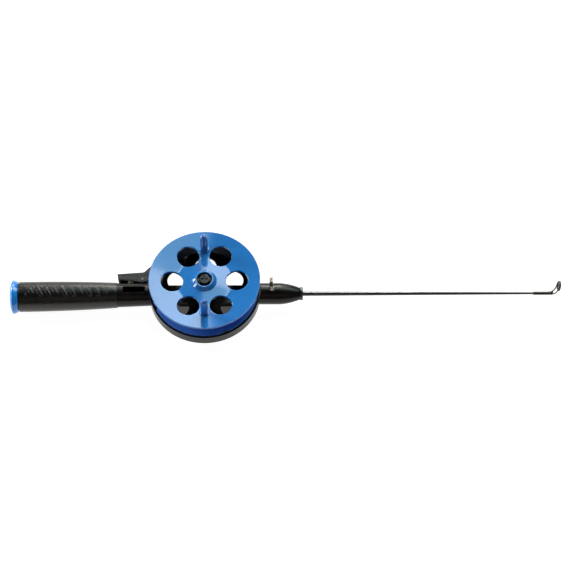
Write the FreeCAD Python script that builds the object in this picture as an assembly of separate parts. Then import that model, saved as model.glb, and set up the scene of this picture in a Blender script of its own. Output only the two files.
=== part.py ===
# Short ice fishing rod with an open side reel, in millimetres, +Z up.
# +X runs along the rod to its tip, +Z is the spool's axis, and +Y is the thumb lever's side.
# The origin is the centre of the flat pad on the back of the frame, behind the spool's spindle.
import FreeCAD, Part

import math
import os

from FreeCAD import Vector

# Clearances between pieces
RUNNING_CLEARANCE = 0.05
SEAT_CLEARANCE = 0.03
SPOOL_END_PLAY = 0.10
MOVING_GAP = 0.40

# Frame: back pad, dish behind the spool, neck and nose
AXIS_HEIGHT = 9.5
HANDLE_DROP_DEG = 1.0
DISH_RADIUS = 44.8
DISH_WALL = 1.4
DISH_PLATE = 1.6
DISH_DEPTH = 6.9
DISH_HOLE_RADIUS = 9.0
DISH_HOLE_PITCH_RADIUS = 25.3
HOLE_COUNT = 6
BEAM_RADIUS = 8.0
PAD_LENGTH = 46.0
PAD_WIDTH = 13.0
PAD_CORNER_ROUND = 3.0
HUB_RADIUS = 7.0
HUB_HEIGHT = 3.5
NECK_LENGTH = 26.2
NECK_FRONT_RADIUS = 9.1
NECK_REAR_RADIUS = 9.8
POCKET_LENGTH = 18.0
POCKET_WIDTH = 5.4
POCKET_DEPTH = 12.0
POCKET_TO_LEVER_SIDE = 2.75
POCKET_CORNER_ROUND = 0.8
PIECE_OVERLAP = 4.0
POCKET_START = 3.5
NOSE_RADIUS = 8.7
NOSE_STRAIGHT = 16.2
NOSE_TAPER = 15.6
NOSE_END_RADIUS = 5.0
NOSE_BULGE = 0.32
BLANK_SOCKET_DEPTH = 22.0

# Handle
CORE_RADIUS = 6.6
CORE_BORE_RADIUS = 4.6
CORE_END_INSET = 1.0
GRIP_LENGTH = 79.9
GRIP_FRONT_RADIUS = 10.3
GRIP_MIDDLE_RADIUS = 11.85
GRIP_BUTT_RADIUS = 12.2
GRIP_EDGE_ROUND = 1.0
CAP_JOINT_GAP = 0.3
CAP_FRONT_STEP = 0.1
CAP_DOME_FULLNESS = 0.72
CAP_FLARE = 1.6
CAP_FLARE_LENGTH = 3.8
CAP_DOME_LENGTH = 3.5
CAP_PLUG_LENGTH = 14.0

# Rod blank, front collar and line guides
BLANK_BUTT_RADIUS = 1.9
BLANK_TIP_RADIUS = 0.9
BLANK_LENGTH = 200.7
BLANK_TIP_LEAD = 1.0
BLANK_TIP_INSET = 0.6
COLLAR_RADIUS = 5.45
COLLAR_LENGTH = 2.7
COLLAR_ROUND = 1.0
TIP_TUBE_RADIUS = 1.35
TIP_TUBE_LENGTH = 14.0
SOLDER_RADIUS = 1.6
SOLDER_FORWARD = 0.9
SOLDER_RISE = 0.35
TIP_RING_HEIGHT = 11.7
TIP_RING_FORWARD = 5.9
TIP_RING_RADIUS = 4.2
TIP_RING_WALL = 0.7
TIP_RING_WIDTH = 1.3
TIP_INSERT_BORE_RADIUS = 2.8
TIP_INSERT_WIDTH = 1.8
TIP_RING_LEAN_DEG = 13.0
TIP_LEG_RADIUS = 0.55
TIP_LEG_FOOT_RISE = 0.6
TIP_LEG_FORWARD = 1.1
TIP_LEG_SPREAD = 1.3
TIP_RING_ROUND = 0.3
TIP_INSERT_ROUND = 0.35
EYE_FROM_DISH = 9.2
EYE_HEIGHT = 15.5
EYE_COIL_RADIUS = 5.2
EYE_WIRE_RADIUS = 0.55
EYE_COIL_WIDTH = 2.7
EYE_TURNS = 2.0
EYE_BEND_RADIUS = 1.2
EYE_LEG_DEPTH = 5.0

# Spool and its spindle
SPOOL_RADIUS = 44.9
FLANGE_THICKNESS = 1.9
FACE_DISH = 3.0
FACE_VALLEY_RADIUS = 22.5
FACE_HUB_RISE = 0.8
HUB_BASE_RADIUS = 10.0
CONE_TOP_RADIUS = 7.35
CONE_HEIGHT = 2.9
RECESS_RADIUS = 6.35
DRUM_RADIUS = 37.0
DRUM_WALL = 1.5
LINE_GROOVE_WIDTH = 13.4
REAR_FLANGE_THICKNESS = 1.8
REAR_FLANGE_ROUND = 0.4
RIM_ROUND_SHARE = 0.35
REAR_FLANGE_RADIAL_GAP = 0.4
SPOOL_HOLE_RADIUS = 9.0
SPOOL_HOLE_PITCH_RADIUS = 26.2
SPOOL_HUB_RADIUS = 7.6
AXLE_RADIUS = 3.5
BUSH_WALL = 1.5
THRUST_WASHER_THICKNESS = 0.6
SCREW_RADIUS = 2.0
SCREW_HEAD_RADIUS = 5.0
SCREW_HEAD_HEIGHT = 2.7
SCREW_HEAD_ROUND = 1.2
SCREW_DEPTH_IN_INSERT = 7.5
CROSS_REACH = 2.9
CROSS_WIDTH = 1.1
CROSS_DEPTH = 1.6
WASHER_THICKNESS = 0.8
INSERT_RADIUS = 3.2
INSERT_LENGTH = 9.0
NOTCH_COUNT = 4
NOTCH_RADIUS = 2.2
NOTCH_DEPTH = 1.8
NOTCH_ANGLE_DEG = 113.0
SPOOL_TURN_DEG = 1.0

# Finger knobs on the spool's face
KNOB_PITCH_RADIUS = 29.8
KNOB_RADIUS = 2.95
KNOB_HEIGHT = 19.8
KNOB_PIN_RADIUS = 1.2
KNOB_PIN_HEAD_RADIUS = 1.6
KNOB_PIN_HEAD_LENGTH = 1.0
KNOB_PIN_END_GAP = 0.5
KNOB_RIVET_LENGTH = 1.0
KNOB_RIVET_DROP = 0.2
KNOB_COLLAR_RADIUS = 4.1
KNOB_COLLAR_HEIGHT = 0.9
KNOB_COLLAR_ROUND = 0.4

# Thumb lever, its pin and its spring
LEVER_WIDTH = 10.0
LEVER_WALL = 1.6
LEVER_ROOF = 1.6
LEVER_PIVOT_FROM_DISH = 6.2
LEVER_PIN_RADIUS = 1.25
LEVER_EYE_RADIUS = 2.9
LEVER_EYE_FLAT = 1.6
LEVER_PIN_ROUND = 0.25
LEVER_PIN_STANDOUT = 0.3
LEVER_LOCK_DEG = 2.5
PAD_REACH = 20.4
PAD_END_RISE = 4.7
PAD_CORNER_RISE = 6.4
PAD_CORNER_FORWARD = 1.1
PAD_END_SLANT = 1.0
PAD_LOW_RISE = 0.4
UNDER_PAD_BACK = 7.0
UNDER_PAD_DROP = 1.3
HEEL_FORWARD = 4.1
HEEL_DROP = 1.7
ARM_THICKNESS = 4.4
ARM_WIDTH = 6.5
ARM_START_DEG = 151.2
ARM_INNER_START_DEG = 162.0
ARM_PAST_TOOTH_DEG = 4.0
ARM_MIDDLE_SWELL = 0.7
ARM_END_SWELL = 1.4
TOOTH_WIDTH = 2.8
TOOTH_TIP_CLEARANCE = 0.4
SPRING_FROM_PIVOT = 9.6
SPRING_COIL_RADIUS = 1.65
SPRING_WIRE_RADIUS = 0.27
SPRING_HALF_TURNS = 9
SPRING_PEG_RADIUS = 1.1
SPRING_PEG_LENGTH = 1.8
PAD_PEG_LENGTH = 1.3
SPRING_SIDE_ROOM = 0.9
SPRING_SEAT_SUNK = 0.5

# Places that follow from the sizes
DISH_FLOOR = AXIS_HEIGHT
DISH_RIM = AXIS_HEIGHT + DISH_DEPTH
NECK_END = -(DISH_RADIUS + NECK_LENGTH)
GRIP_BUTT = NECK_END - GRIP_LENGTH
NOSE_SHOULDER = DISH_RADIUS + NOSE_STRAIGHT
NOSE_END = NOSE_SHOULDER + NOSE_TAPER
COLLAR_END = NOSE_END + COLLAR_LENGTH
BLANK_END = COLLAR_END + BLANK_LENGTH
HUB_TOP = DISH_FLOOR + HUB_HEIGHT
SPOOL_BACK = HUB_TOP + THRUST_WASHER_THICKNESS + SPOOL_END_PLAY
REAR_FLANGE_RADIUS = DISH_RADIUS - DISH_WALL - REAR_FLANGE_RADIAL_GAP
REAR_FLANGE_BACK = DISH_RIM - REAR_FLANGE_RADIAL_GAP - 0.3
GROOVE_BACK = REAR_FLANGE_BACK + REAR_FLANGE_THICKNESS
GROOVE_FRONT = GROOVE_BACK + LINE_GROOVE_WIDTH
FACE_RIM = GROOVE_FRONT + FLANGE_THICKNESS
FACE_VALLEY = FACE_RIM - FACE_DISH
FACE_HUB = FACE_VALLEY + FACE_HUB_RISE
CONE_TOP = FACE_HUB + CONE_HEIGHT
RECESS_FLOOR = FACE_HUB - 0.4
WASHER_BACK = RECESS_FLOOR + SPOOL_END_PLAY
HEAD_BACK = WASHER_BACK + WASHER_THICKNESS
BUSH_RADIUS = AXLE_RADIUS + RUNNING_CLEARANCE + BUSH_WALL
PIVOT_X = -(DISH_RADIUS + LEVER_PIVOT_FROM_DISH)
CHANNEL_WIDTH = LEVER_WIDTH - 2 * LEVER_WALL


def neck_top(x, side=0.0):
    """Height in Y of the neck's surface at a distance to the side of its axis."""
    share = (x - NECK_END) / NECK_LENGTH
    radius = NECK_REAR_RADIUS + share * (NECK_FRONT_RADIUS - NECK_REAR_RADIUS)
    return math.sqrt(radius**2 - side**2) + x * math.sin(math.radians(HANDLE_DROP_DEG))


PIVOT_Y = neck_top(PIVOT_X, CHANNEL_WIDTH / 2) + MOVING_GAP + LEVER_EYE_RADIUS
PIVOT = Vector(PIVOT_X, PIVOT_Y, 0)
CHANNEL_ROOF = PIVOT_Y + PAD_END_RISE - LEVER_ROOF
SPRING_X = PIVOT_X - SPRING_FROM_PIVOT
SPRING_SEAT = neck_top(SPRING_X) - SPRING_SEAT_SUNK
TIP_RING_CENTRE = Vector(BLANK_END + TIP_RING_FORWARD, 0, AXIS_HEIGHT + TIP_RING_HEIGHT)


def upright(radius, low, high, x=0.0, y=0.0):
    """A cylinder along +Z from one height to another."""
    return Part.makeCylinder(radius, high - low, Vector(x, y, low))


def along_rod(radius, start, end):
    """A cylinder on the handle's axis from one X to another."""
    return Part.makeCylinder(radius, end - start, Vector(start, 0, AXIS_HEIGHT), Vector(1, 0, 0))


def block(low, high):
    """A box between two corners."""
    size = [high[i] - low[i] for i in range(3)]
    return Part.makeBox(size[0], size[1], size[2], Vector(*low))


def spun_up(outline):
    """A solid turned about +Z from a closed outline of (radius, height) points."""
    points = [Vector(radius, 0, height) for radius, height in outline]
    face = Part.Face(Part.makePolygon(points + points[:1]))
    return face.revolve(Vector(0, 0, 0), Vector(0, 0, 1), 360)


def spun_along(edges):
    """A solid turned about the handle's axis from edges drawn above it in the XZ plane."""
    face = Part.Face(Part.Wire(Part.__sortEdges__(edges)))
    return face.revolve(Vector(0, 0, AXIS_HEIGHT), Vector(1, 0, 0), 360)


def on_axis(x, radius):
    """A point at a radius above the handle's axis."""
    return Vector(x, 0, AXIS_HEIGHT + radius)


def line(start, end):
    return Part.LineSegment(start, end).toShape()


def curve(points):
    """A smooth curve through points."""
    spline = Part.BSplineCurve()
    spline.interpolate(points)
    return spline.toShape()


def polar(radius, degrees):
    angle = math.radians(degrees)
    return Vector(radius * math.cos(angle), radius * math.sin(angle), 0)


def dropped(shape):
    """Turn a handle piece down by the handle's drop, about the spool's axis."""
    turned = shape.copy()
    turned.rotate(Vector(0, 0, 0), Vector(0, 0, 1), HANDLE_DROP_DEG)
    return turned


def spool_turned(shape):
    """Turn a piece that rides on the spool to the spool's stored angle."""
    turned = shape.copy()
    turned.rotate(Vector(0, 0, 0), Vector(0, 0, 1), SPOOL_TURN_DEG)
    return turned


def around_spool(shape, count, degrees):
    """Copies of a shape spaced evenly about the spool's axis, the first turned by an angle."""
    copies = []
    for i in range(count):
        turned = shape.copy()
        turned.rotate(Vector(0, 0, 0), Vector(0, 0, 1), degrees + 360.0 * i / count)
        copies.append(turned)
    return copies


def rounded(shape, radius, chosen):
    """Fillet the edges that a test picks."""
    edges = [edge for edge in shape.Edges if chosen(edge)]
    return shape.makeFillet(radius, edges)


def circle_edge(edge, radius, height=None, tolerance=0.05):
    """Whether an edge is a circle of a radius, lying at a height if one is given."""
    if not isinstance(edge.Curve, Part.Circle):
        return False
    if abs(edge.Curve.Radius - radius) > tolerance:
        return False
    return height is None or abs(edge.Curve.Center.z - height) < tolerance


# Frame


def make_neck():
    """The tapered neck with its hollow core for the grip, dropped with the handle."""
    neck = Part.makeCone(
        NECK_REAR_RADIUS,
        NECK_FRONT_RADIUS,
        NECK_LENGTH,
        Vector(NECK_END, 0, AXIS_HEIGHT),
        Vector(1, 0, 0),
    )
    stub = along_rod(NECK_FRONT_RADIUS, -DISH_RADIUS, PIECE_OVERLAP - DISH_RADIUS)
    core_end = GRIP_BUTT + CORE_END_INSET
    core = along_rod(CORE_RADIUS, core_end, NECK_END + 2.0)
    bore = along_rod(CORE_BORE_RADIUS, core_end, NECK_END - PIECE_OVERLAP)
    start = -(DISH_RADIUS + POCKET_START)
    pocket_floor = AXIS_HEIGHT + NECK_FRONT_RADIUS - POCKET_DEPTH
    pocket = block(
        (start - POCKET_LENGTH, POCKET_TO_LEVER_SIDE - POCKET_WIDTH, pocket_floor),
        (start, POCKET_TO_LEVER_SIDE, AXIS_HEIGHT + 2 * NECK_REAR_RADIUS),
    )
    pocket = pocket.makeFillet(
        POCKET_CORNER_ROUND, [edge for edge in pocket.Edges if is_upright_edge(edge)]
    )
    return dropped(neck.multiFuse([stub, core]).cut(bore).cut(pocket))


def is_upright_edge(edge):
    start, end = edge.Vertexes[0].Point, edge.Vertexes[-1].Point
    return abs(start.x - end.x) < 1e-6 and abs(start.y - end.y) < 1e-6


def make_nose():
    """The round nose that holds the blank, with a bullet-shaped front."""
    middle = (NOSE_SHOULDER + NOSE_END) / 2
    shoulder = on_axis(NOSE_SHOULDER, NOSE_RADIUS)
    bulge = on_axis(middle, NOSE_RADIUS - NOSE_BULGE * (NOSE_RADIUS - NOSE_END_RADIUS))
    rim = on_axis(NOSE_END, NOSE_END_RADIUS)
    back = DISH_RADIUS - PIECE_OVERLAP
    return spun_along(
        [
            line(on_axis(back, 0), on_axis(back, NOSE_RADIUS)),
            line(on_axis(back, NOSE_RADIUS), shoulder),
            Part.Arc(shoulder, bulge, rim).toShape(),
            line(rim, on_axis(NOSE_END, 0)),
            line(on_axis(NOSE_END, 0), on_axis(back, 0)),
        ]
    )


def make_lever_ear():
    """The ear on top of the neck that carries the lever's pin, and the spring's peg."""
    width = CHANNEL_WIDTH - 2 * MOVING_GAP
    low = AXIS_HEIGHT - width / 2
    high = AXIS_HEIGHT + width / 2
    ear_radius = LEVER_EYE_RADIUS - MOVING_GAP
    round_top = upright(ear_radius, low, high, PIVOT_X, PIVOT_Y)
    root = block(
        (PIVOT_X - ear_radius, NECK_FRONT_RADIUS / 2, low),
        (PIVOT_X + ear_radius, PIVOT_Y, high),
    )
    return round_top.fuse(root)


def make_frame_body():
    """One moulding: dish, beam, back pad, spindle hub, neck, lever ear and nose."""
    dish = upright(DISH_RADIUS, DISH_FLOOR - DISH_PLATE, DISH_RIM)
    beam = along_rod(BEAM_RADIUS, -DISH_RADIUS + 1.0, DISH_RADIUS - 1.0)
    pad = block(
        (-PAD_LENGTH / 2, -PAD_WIDTH / 2, 0),
        (PAD_LENGTH / 2, PAD_WIDTH / 2, AXIS_HEIGHT),
    )
    pad = pad.makeFillet(PAD_CORNER_ROUND, [edge for edge in pad.Edges if is_upright_edge(edge)])
    body = dish.multiFuse([beam, pad, make_nose(), make_neck()])
    inside = upright(DISH_RADIUS - DISH_WALL, DISH_FLOOR, DISH_RIM + 40)
    over_rim = upright(DISH_RADIUS + MOVING_GAP, DISH_RIM, DISH_RIM + 40)
    hole = upright(DISH_HOLE_RADIUS, -1, DISH_FLOOR + 1, DISH_HOLE_PITCH_RADIUS)
    beam_keep = along_rod(BEAM_RADIUS, -DISH_RADIUS, DISH_RADIUS)
    holes = [
        cut.cut(beam_keep).cut(pad) for cut in around_spool(hole, HOLE_COUNT, 180.0 / HOLE_COUNT)
    ]
    body = body.cut(inside.fuse(over_rim)).cut(Part.makeCompound(holes))
    hub = upright(HUB_RADIUS, DISH_FLOOR - DISH_PLATE, HUB_TOP)
    body = body.multiFuse([hub, make_lever_ear()])
    insert_hole = upright(INSERT_RADIUS + SEAT_CLEARANCE, HUB_TOP - INSERT_LENGTH - 0.5, HUB_TOP + 1)
    socket = along_rod(
        BLANK_BUTT_RADIUS + SEAT_CLEARANCE, NOSE_END - BLANK_SOCKET_DEPTH - 0.2, NOSE_END + 1
    )
    pin_hole = upright(LEVER_PIN_RADIUS, 0, 2 * AXIS_HEIGHT, PIVOT_X, PIVOT_Y)
    tooth_slot = block(
        (REAR_FLANGE_RADIUS - 2, -TOOTH_WIDTH, DISH_RIM - 4.0),
        (DISH_RADIUS + 2, TOOTH_WIDTH, DISH_RIM + 2),
    )
    tooth_slot.rotate(Vector(0, 0, 0), Vector(0, 0, 1), NOTCH_ANGLE_DEG)
    eye_holes = [
        upright(EYE_WIRE_RADIUS + SEAT_CLEARANCE, eye_leg_foot(), DISH_RIM + NOSE_RADIUS, x, y)
        for x, y in eye_leg_places()
    ]
    spring_seat = Part.makeCylinder(
        SPRING_COIL_RADIUS + SPRING_SIDE_ROOM, 6, Vector(SPRING_X, SPRING_SEAT, AXIS_HEIGHT), Vector(0, 1, 0)
    )
    spring_peg = Part.makeCylinder(
        SPRING_PEG_RADIUS, SPRING_PEG_LENGTH + 1, Vector(SPRING_X, SPRING_SEAT - 1, AXIS_HEIGHT), Vector(0, 1, 0)
    )
    cuts = [insert_hole, socket, pin_hole, tooth_slot, spring_seat] + eye_holes
    return body.cut(Part.makeCompound(cuts)).fuse(spring_peg).removeSplitter()


# Handle


def make_grip_sleeve():
    """The grip's sleeve, swelling towards the butt, with rounded ends."""
    inner = CORE_RADIUS + SEAT_CLEARANCE
    middle = (NECK_END + GRIP_BUTT) / 2
    front_edge = on_axis(NECK_END, GRIP_FRONT_RADIUS)
    middle_point = on_axis(middle, GRIP_MIDDLE_RADIUS)
    butt_edge = on_axis(GRIP_BUTT, GRIP_BUTT_RADIUS)
    sleeve = spun_along(
        [
            line(on_axis(GRIP_BUTT, inner), butt_edge),
            Part.Arc(butt_edge, middle_point, front_edge).toShape(),
            line(front_edge, on_axis(NECK_END, inner)),
            line(on_axis(NECK_END, inner), on_axis(GRIP_BUTT, inner)),
        ]
    )
    sleeve = rounded(sleeve, GRIP_EDGE_ROUND, lambda edge: circle_edge(edge, GRIP_BUTT_RADIUS))
    return dropped(sleeve)


def make_butt_cap():
    """The flared, domed cap with a plug that fits the core's bore."""
    front = GRIP_BUTT - CAP_JOINT_GAP
    flare = front - CAP_FLARE_LENGTH
    end = flare - CAP_DOME_LENGTH
    front_radius = GRIP_BUTT_RADIUS + CAP_FRONT_STEP
    flare_radius = GRIP_BUTT_RADIUS + CAP_FLARE
    plug_radius = CORE_BORE_RADIUS - SEAT_CLEARANCE
    plug_end = front + CAP_PLUG_LENGTH
    dome_mid = on_axis(
        flare - CAP_DOME_FULLNESS * CAP_DOME_LENGTH, CAP_DOME_FULLNESS * flare_radius
    )
    return dropped(
        spun_along(
            [
                line(on_axis(end, 0), on_axis(plug_end, 0)),
                line(on_axis(plug_end, 0), on_axis(plug_end, plug_radius)),
                line(on_axis(plug_end, plug_radius), on_axis(front, plug_radius)),
                line(on_axis(front, plug_radius), on_axis(front, front_radius)),
                line(on_axis(front, front_radius), on_axis(flare, flare_radius)),
                curve([on_axis(flare, flare_radius), dome_mid, on_axis(end, 0)]),
            ]
        )
    )


# Rod blank and guides


def make_rod_blank():
    """The tapered blank, glued into the nose, with a parallel end under the tip tube."""
    socket_end = NOSE_END - BLANK_SOCKET_DEPTH
    taper_end = BLANK_END - TIP_TUBE_LENGTH - BLANK_TIP_LEAD
    butt = along_rod(BLANK_BUTT_RADIUS, socket_end, COLLAR_END)
    taper = Part.makeCone(
        BLANK_BUTT_RADIUS,
        BLANK_TIP_RADIUS,
        taper_end - COLLAR_END,
        Vector(COLLAR_END, 0, AXIS_HEIGHT),
        Vector(1, 0, 0),
    )
    tip = along_rod(BLANK_TIP_RADIUS, taper_end, BLANK_END - BLANK_TIP_INSET)
    return butt.fuse(taper).fuse(tip)


def make_nose_collar():
    """The rounded ring that closes the nose around the blank."""
    collar = along_rod(COLLAR_RADIUS, NOSE_END, COLLAR_END)
    collar = rounded(collar, COLLAR_ROUND, lambda edge: circle_edge(edge, COLLAR_RADIUS))
    return collar.cut(along_rod(BLANK_BUTT_RADIUS + SEAT_CLEARANCE, NOSE_END - 1, COLLAR_END + 1))


def make_tip_guide_tube():
    """The tip guide's tube, closed at its front end over the blank."""
    tube = along_rod(TIP_TUBE_RADIUS, BLANK_END - TIP_TUBE_LENGTH, BLANK_END)
    hole = along_rod(
        BLANK_TIP_RADIUS + SEAT_CLEARANCE, BLANK_END - TIP_TUBE_LENGTH - 1, BLANK_END - 0.5
    )
    return tube.cut(hole)


def make_tip_guide_solder():
    """The bead of solder that joins the two legs to the tube's front end."""
    bead = Part.makeSphere(SOLDER_RADIUS, Vector(BLANK_END + SOLDER_FORWARD, 0, AXIS_HEIGHT + SOLDER_RISE))
    tube_end = along_rod(TIP_TUBE_RADIUS, BLANK_END - 3, BLANK_END)
    return bead.cut(tube_end).cut(Part.makeCompound(tip_legs()))


def tip_legs():
    """Two wire legs from the solder bead up to the sides of the tip ring."""
    foot_z = AXIS_HEIGHT + TIP_LEG_FOOT_RISE
    reach = TIP_RING_RADIUS - TIP_LEG_RADIUS
    legs = []
    for side in (-1, 1):
        foot = Vector(BLANK_END + TIP_LEG_FORWARD, side * TIP_LEG_RADIUS * TIP_LEG_SPREAD, foot_z)
        top = TIP_RING_CENTRE + Vector(-TIP_RING_WIDTH / 2 - TIP_LEG_RADIUS, side * reach, 0)
        legs.append(Part.makeCylinder(TIP_LEG_RADIUS, (top - foot).Length, foot, top - foot))
    return legs


def make_tip_guide_legs():
    """The legs, each ending flush against the ring and clear of its liner."""
    ring = leaned(tip_disc(TIP_RING_RADIUS, TIP_RING_WIDTH))
    liner = leaned(tip_disc(TIP_RING_RADIUS - TIP_RING_WALL, TIP_INSERT_WIDTH + 0.1))
    return Part.makeCompound([leg.cut(ring.fuse(liner)) for leg in tip_legs()])


def leaned(shape):
    """Lean a tip ring piece forwards about the ring's centre."""
    turned = shape.copy()
    turned.rotate(TIP_RING_CENTRE, Vector(0, 1, 0), TIP_RING_LEAN_DEG)
    return turned


def tip_disc(radius, width):
    """A disc centred on the tip ring, its axis along the rod before it is leaned."""
    start = TIP_RING_CENTRE - Vector(width / 2, 0, 0)
    return Part.makeCylinder(radius, width, start, Vector(1, 0, 0))


def make_tip_guide_ring():
    inner = TIP_RING_RADIUS - TIP_RING_WALL
    ring = tip_disc(TIP_RING_RADIUS, TIP_RING_WIDTH)
    ring = rounded(ring, TIP_RING_ROUND, lambda edge: circle_edge(edge, TIP_RING_RADIUS))
    return leaned(ring.cut(tip_disc(inner, TIP_RING_WIDTH + 1)))


def make_tip_guide_insert():
    """The hard liner ring that the line runs through, wider than its holder."""
    outer = TIP_RING_RADIUS - TIP_RING_WALL - SEAT_CLEARANCE
    liner = tip_disc(outer, TIP_INSERT_WIDTH)
    liner = liner.cut(tip_disc(TIP_INSERT_BORE_RADIUS, TIP_INSERT_WIDTH + 1))
    bead = min(TIP_INSERT_ROUND, 0.4 * (outer - TIP_INSERT_BORE_RADIUS))
    liner = rounded(liner, bead, lambda edge: isinstance(edge.Curve, Part.Circle))
    return leaned(liner)


def eye_leg_places():
    """The X and Y of the two legs of the nose eye's wire."""
    middle = DISH_RADIUS + EYE_FROM_DISH
    half = EYE_COIL_WIDTH / 2
    return ((middle - half, -EYE_BEND_RADIUS), (middle + half, EYE_BEND_RADIUS))


def eye_leg_foot():
    return AXIS_HEIGHT + NOSE_RADIUS - EYE_LEG_DEPTH


def wire_end(place, wire_radius):
    """The round end of a wire, facing along Y."""
    return Part.Face(Part.Wire(Part.Circle(place, Vector(0, 1, 0), wire_radius).toShape()))


def coiled_wire(radius, pitch, half_turns, wire_radius):
    """Round wire wound up +Z from +X at height 0, in tilted half rings that meet end to end."""
    rise = pitch / 2
    half_ring_radius = math.hypot(radius, rise / 2)
    tilt = math.degrees(math.atan2(rise / 2, radius))
    end = wire_end(Vector(half_ring_radius, 0, 0), wire_radius)
    half_ring = end.revolve(Vector(0, 0, 0), Vector(0, 0, 1), 180)
    half_ring.rotate(Vector(0, 0, 0), Vector(0, 1, 0), tilt)
    halves = []
    for i in range(half_turns):
        half = half_ring.copy()
        half.rotate(Vector(0, 0, 0), Vector(0, 0, 1), 180 * (i % 2))
        half.translate(Vector(0, 0, (i + 0.5) * rise))
        halves.append(half)
    return halves[0].multiFuse(halves[1:])


def make_nose_guide_eye():
    """Wire wound into an open coil, both ends bent down into the nose."""
    bottom = AXIS_HEIGHT + EYE_HEIGHT - EYE_COIL_RADIUS
    half_turns = round(2 * EYE_TURNS)
    coil = coiled_wire(EYE_COIL_RADIUS, EYE_COIL_WIDTH / EYE_TURNS, half_turns, EYE_WIRE_RADIUS)
    coil.rotate(Vector(0, 0, 0), Vector(0, 1, 0), 90)
    coil.translate(Vector(eye_leg_places()[0][0], 0, bottom + EYE_COIL_RADIUS))
    pieces = []
    for (x, y), turn in zip(eye_leg_places(), (90, -90)):
        end = wire_end(Vector(x, 0, bottom), EYE_WIRE_RADIUS)
        bend_centre = Vector(x, 0, bottom - EYE_BEND_RADIUS)
        pieces.append(end.revolve(bend_centre, Vector(1, 0, 0), turn))
        pieces.append(upright(EYE_WIRE_RADIUS, eye_leg_foot() + 0.2, bend_centre.z, x, y))
    return coil.multiFuse(pieces)


# Spool and spindle


def spool_face_height(radius):
    """Height of the dished face at a radius outside its valley."""
    share = (radius - FACE_VALLEY_RADIUS) / (SPOOL_RADIUS - FACE_VALLEY_RADIUS)
    return FACE_VALLEY + share * FACE_DISH


def make_spool():
    """Open-backed spool with a dished face, six holes, and a notched rear flange."""
    bore = BUSH_RADIUS + SEAT_CLEARANCE
    drum_inside = DRUM_RADIUS - DRUM_WALL
    valley_back = FACE_VALLEY - FLANGE_THICKNESS
    outline = [
        (bore, SPOOL_BACK),
        (SPOOL_HUB_RADIUS, SPOOL_BACK),
        (SPOOL_HUB_RADIUS, valley_back),
        (FACE_VALLEY_RADIUS, valley_back),
        (drum_inside, spool_face_height(drum_inside) - FLANGE_THICKNESS),
        (drum_inside, REAR_FLANGE_BACK),
        (REAR_FLANGE_RADIUS, REAR_FLANGE_BACK),
        (REAR_FLANGE_RADIUS, GROOVE_BACK),
        (DRUM_RADIUS, GROOVE_BACK),
        (DRUM_RADIUS, spool_face_height(DRUM_RADIUS) - FLANGE_THICKNESS),
        (SPOOL_RADIUS, GROOVE_FRONT),
        (SPOOL_RADIUS, FACE_RIM),
        (FACE_VALLEY_RADIUS, FACE_VALLEY),
        (HUB_BASE_RADIUS, FACE_HUB),
        (CONE_TOP_RADIUS, CONE_TOP),
        (RECESS_RADIUS, CONE_TOP),
        (RECESS_RADIUS, RECESS_FLOOR),
        (bore, RECESS_FLOOR),
    ]
    spool = spun_up(outline)
    rim_round = RIM_ROUND_SHARE * FLANGE_THICKNESS
    spool = rounded(spool, rim_round, lambda edge: circle_edge(edge, SPOOL_RADIUS))
    spool = rounded(spool, REAR_FLANGE_ROUND, lambda edge: circle_edge(edge, REAR_FLANGE_RADIUS))
    hole = upright(SPOOL_HOLE_RADIUS, GROOVE_BACK, CONE_TOP, SPOOL_HOLE_PITCH_RADIUS)
    notch_centre = REAR_FLANGE_RADIUS - NOTCH_DEPTH + NOTCH_RADIUS
    notch = upright(NOTCH_RADIUS, REAR_FLANGE_BACK - 1, GROOVE_BACK + 1, notch_centre)
    cuts = around_spool(hole, HOLE_COUNT, 0.0)
    cuts += around_spool(notch, NOTCH_COUNT, NOTCH_ANGLE_DEG - SPOOL_TURN_DEG)
    for y in knob_places():
        cuts.append(upright(KNOB_PIN_RADIUS, GROOVE_BACK, CONE_TOP, 0, y))
    return spool_turned(spool.cut(Part.makeCompound(cuts)))


def make_spool_bush():
    ring = upright(BUSH_RADIUS, SPOOL_BACK, RECESS_FLOOR)
    return ring.cut(upright(AXLE_RADIUS + RUNNING_CLEARANCE, SPOOL_BACK - 1, RECESS_FLOOR + 1))


def make_spindle_sleeve():
    """The steel sleeve that the spool turns on, clamped under the screw's washer."""
    sleeve = upright(AXLE_RADIUS, HUB_TOP, WASHER_BACK)
    return sleeve.cut(upright(SCREW_RADIUS + SEAT_CLEARANCE, HUB_TOP - 1, WASHER_BACK + 1))


def make_thrust_washer():
    outer = HUB_RADIUS - MOVING_GAP
    washer = upright(outer, HUB_TOP, HUB_TOP + THRUST_WASHER_THICKNESS)
    hole = upright(AXLE_RADIUS + SEAT_CLEARANCE, HUB_TOP - 1, SPOOL_BACK)
    return washer.cut(hole)


def make_threaded_insert():
    """The brass insert moulded into the frame's hub for the spool's screw."""
    insert = upright(INSERT_RADIUS, HUB_TOP - INSERT_LENGTH, HUB_TOP)
    return insert.cut(upright(SCREW_RADIUS, HUB_TOP - INSERT_LENGTH - 1, HUB_TOP + 1))


def make_screw_washer():
    outer = RECESS_RADIUS - MOVING_GAP
    washer = upright(outer, WASHER_BACK, HEAD_BACK)
    return washer.cut(upright(SCREW_RADIUS + SEAT_CLEARANCE, WASHER_BACK - 1, HEAD_BACK + 1))


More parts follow.
